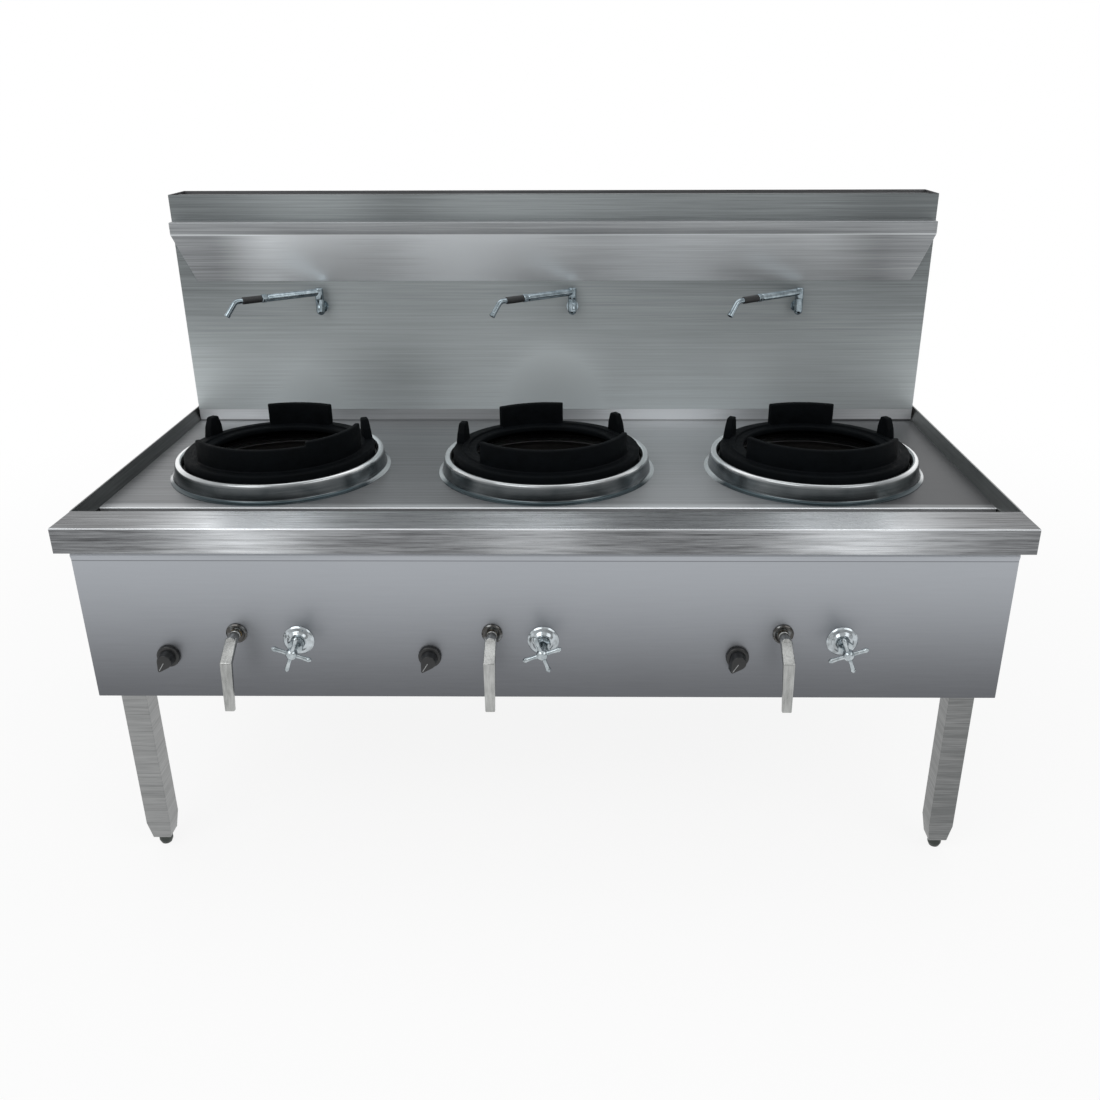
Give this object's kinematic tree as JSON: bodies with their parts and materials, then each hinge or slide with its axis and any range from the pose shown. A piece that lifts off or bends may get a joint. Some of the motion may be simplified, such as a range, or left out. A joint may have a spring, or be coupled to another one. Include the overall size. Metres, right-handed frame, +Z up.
{
  "type": "wok range",
  "caption": "Free-standing stainless wok range: iron wok rings over sunken gas burners, swivel water spouts, gas levers, pilot knobs and cross taps, with a flued splashback",
  "frame": {"origin": "on the floor, half way across the range and half way between the foremost control and the back of the flue", "axes": "+X to the right as the cook faces the range, +Y to the back, +Z up"},
  "size_m": [1.8, 0.984, 1.27],
  "materials": {
    "rim_steel": "folded stainless sheet, brushed along the range",
    "deck_steel": "stainless sheet, brushed, dull from use",
    "splash_steel": "stainless sheet, brushed along the range",
    "apron_steel": "stainless sheet, fine satin brush",
    "panel_steel": "stainless sheet, plain brushed",
    "leg_steel": "square stainless tube, brushed across",
    "collar_steel": "spun stainless, brushed round",
    "foot_steel": "turned steel, dark zinc finish",
    "lever_steel": "bent stainless bar, satin",
    "chrome": "chromium plate over brass",
    "cast_iron": "sand-cast iron, heat blackened",
    "burner_iron": "cast iron, scorched",
    "lining": "pale refractory, rough",
    "valve_brass": "cast brass, unpolished",
    "gas_pipe": "painted steel pipe",
    "water_pipe": "stainless tube",
    "knob_plastic": "moulded phenolic, satin black",
    "grip_plastic": "moulded sleeve, black"
  },
  "bodies": {
    "range_body": {"burner_1": "burner_iron", "burner_2": "burner_iron", "burner_3": "burner_iron", "chamber_1": "panel_steel", "chamber_2": "panel_steel", "chamber_3": "panel_steel", "chamber_linings": "lining", "collar_1": "collar_steel", "collar_2": "collar_steel", "collar_3": "collar_steel", "deck": "deck_steel", "deck_stiffeners": "panel_steel", "drain_outlet": "water_pipe", "escutcheons": "chrome", "flue_duct": "panel_steel", "frame_rails": "leg_steel", "front_apron": "apron_steel", "front_gutter": "deck_steel", "gas_pipework": "gas_pipe", "gas_valves": "valve_brass", "leg_front_left": "leg_steel", "leg_front_right": "leg_steel", "leg_rear_left": "leg_steel", "leg_rear_right": "leg_steel", "rear_panel": "panel_steel", "rim_front": "rim_steel", "rim_left": "rim_steel", "rim_right": "rim_steel", "side_panel_left": "panel_steel", "side_panel_right": "panel_steel", "splash_panel": "splash_steel", "splash_shelf": "splash_steel", "spout_posts": "chrome", "tap_valves": "chrome", "water_pipework": "water_pipe"},
    "foot_front_left": {"foot_front_left": "foot_steel"},
    "foot_front_right": {"foot_front_right": "foot_steel"},
    "foot_rear_left": {"foot_rear_left": "foot_steel"},
    "foot_rear_right": {"foot_rear_right": "foot_steel"},
    "ring_1": {"wok_ring_1": "cast_iron"},
    "pilot_knob_1": {"knob_1": "knob_plastic"},
    "gas_lever_1": {"lever_1": "lever_steel"},
    "tap_1": {"tap_handle_1": "chrome"},
    "spout_1": {"spout_arm_1": "chrome", "spout_grip_1": "grip_plastic", "spout_nozzle_1": "chrome"},
    "ring_2": {"wok_ring_2": "cast_iron"},
    "pilot_knob_2": {"knob_2": "knob_plastic"},
    "gas_lever_2": {"lever_2": "lever_steel"},
    "tap_2": {"tap_handle_2": "chrome"},
    "spout_2": {"spout_arm_2": "chrome", "spout_grip_2": "grip_plastic", "spout_nozzle_2": "chrome"},
    "ring_3": {"wok_ring_3": "cast_iron"},
    "pilot_knob_3": {"knob_3": "knob_plastic"},
    "gas_lever_3": {"lever_3": "lever_steel"},
    "tap_3": {"tap_handle_3": "chrome"},
    "spout_3": {"spout_arm_3": "chrome", "spout_grip_3": "grip_plastic", "spout_nozzle_3": "chrome"}
  },
  "joints": [
    {"name": "foot_front_left_screw", "type": "slide", "parent": "range_body", "child": "foot_front_left", "axis": [0, 0, -1], "range_m": [0, 0.025]},
    {"name": "foot_front_right_screw", "type": "slide", "parent": "range_body", "child": "foot_front_right", "axis": [0, 0, -1], "range_m": [0, 0.025]},
    {"name": "foot_rear_left_screw", "type": "slide", "parent": "range_body", "child": "foot_rear_left", "axis": [0, 0, -1], "range_m": [0, 0.025]},
    {"name": "foot_rear_right_screw", "type": "slide", "parent": "range_body", "child": "foot_rear_right", "axis": [0, 0, -1], "range_m": [0, 0.025]},
    {"name": "ring_1_lift", "type": "slide", "parent": "range_body", "child": "ring_1", "axis": [0, 0, 1], "range_m": [0, 0.1]},
    {"name": "knob_1_turn", "type": "hinge", "parent": "range_body", "child": "pilot_knob_1", "pos_m": [-0.723, -0.408, 0.493], "axis": [0, -1, 0], "range_deg": [0, 90]},
    {"name": "lever_1_swing", "type": "hinge", "parent": "range_body", "child": "gas_lever_1", "pos_m": [-0.586, -0.418, 0.542], "axis": [0, 1, 0], "range_deg": [0, 90]},
    {"name": "tap_1_turn", "type": "hinge", "parent": "range_body", "child": "tap_1", "pos_m": [-0.469, -0.448, 0.527], "axis": [0, -1, 0], "range_deg": [0, 540]},
    {"name": "spout_1_swivel", "type": "hinge", "parent": "range_body", "child": "spout_1", "pos_m": [-0.554, 0.36, 1.04], "axis": [0, 0, 1], "range_deg": [-35, 140]},
    {"name": "ring_2_lift", "type": "slide", "parent": "range_body", "child": "ring_2", "axis": [0, 0, 1], "range_m": [0, 0.1]},
    {"name": "knob_2_turn", "type": "hinge", "parent": "range_body", "child": "pilot_knob_2", "pos_m": [-0.22, -0.408, 0.493], "axis": [0, -1, 0], "range_deg": [0, 90]},
    {"name": "lever_2_swing", "type": "hinge", "parent": "range_body", "child": "gas_lever_2", "pos_m": [-0.099, -0.418, 0.542], "axis": [0, 1, 0], "range_deg": [0, 90]},
    {"name": "tap_2_turn", "type": "hinge", "parent": "range_body", "child": "tap_2", "pos_m": [-0.002, -0.448, 0.527], "axis": [0, -1, 0], "range_deg": [0, 540]},
    {"name": "spout_2_swivel", "type": "hinge", "parent": "range_body", "child": "spout_2", "pos_m": [0.046, 0.36, 1.04], "axis": [0, 0, 1], "range_deg": [-35, 140]},
    {"name": "ring_3_lift", "type": "slide", "parent": "range_body", "child": "ring_3", "axis": [0, 0, 1], "range_m": [0, 0.1]},
    {"name": "knob_3_turn", "type": "hinge", "parent": "range_body", "child": "pilot_knob_3", "pos_m": [0.369, -0.408, 0.493], "axis": [0, -1, 0], "range_deg": [0, 90]},
    {"name": "lever_3_swing", "type": "hinge", "parent": "range_body", "child": "gas_lever_3", "pos_m": [0.453, -0.418, 0.542], "axis": [0, 1, 0], "range_deg": [0, 90]},
    {"name": "tap_3_turn", "type": "hinge", "parent": "range_body", "child": "tap_3", "pos_m": [0.566, -0.448, 0.527], "axis": [0, -1, 0], "range_deg": [0, 540]},
    {"name": "spout_3_swivel", "type": "hinge", "parent": "range_body", "child": "spout_3", "pos_m": [0.582, 0.36, 1.04], "axis": [0, 0, 1], "range_deg": [-35, 140]}
  ]
}
